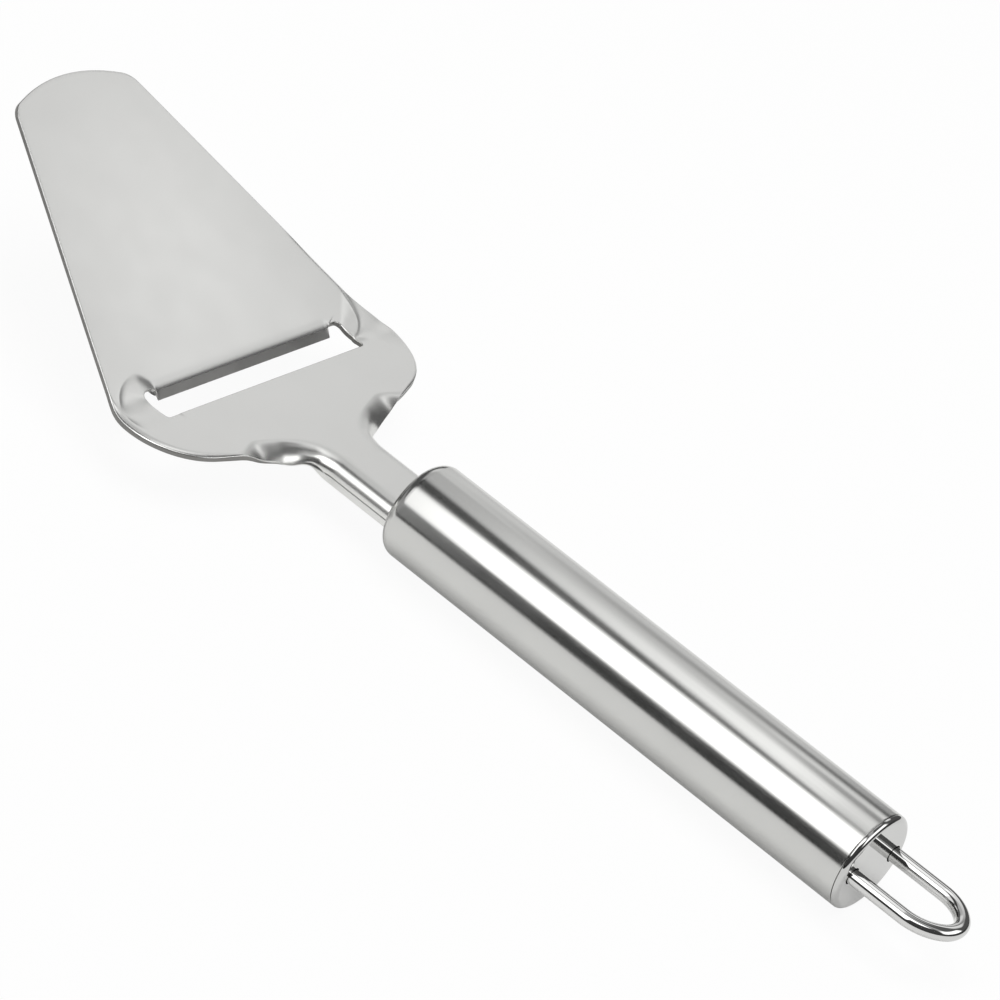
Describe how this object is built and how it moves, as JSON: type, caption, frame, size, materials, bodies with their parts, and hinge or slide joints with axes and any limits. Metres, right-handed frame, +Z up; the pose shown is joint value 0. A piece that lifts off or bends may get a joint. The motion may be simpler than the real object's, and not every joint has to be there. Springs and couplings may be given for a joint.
{
  "type": "cheese slicer",
  "caption": "Steel cheese slicer: tapered plate with a slot and ground cutting edge, channel neck, round tube handle and wire hanging loop.",
  "frame": {"origin": "middle of the footprint at the height of the handle's lowest line", "axes": "+Y along the handle towards the blade's tip, +Z up from the handle to the raised tip, +X across the blade"},
  "size_m": [0.0764, 0.2384, 0.0384],
  "materials": {
    "satin_sheet": "fine satin stainless sheet",
    "satin_tube": "satin-polished stainless tube",
    "polished_steel": "mirror-polished stainless steel",
    "weld_metal": "plain weld bead"
  },
  "bodies": {
    "root": {"blade": "satin_sheet", "handle_tube": "satin_tube", "end_cap": "polished_steel", "hanging_loop": "polished_steel", "tang_weld": "weld_metal", "loop_welds": "weld_metal"}
  },
  "joints": []
}
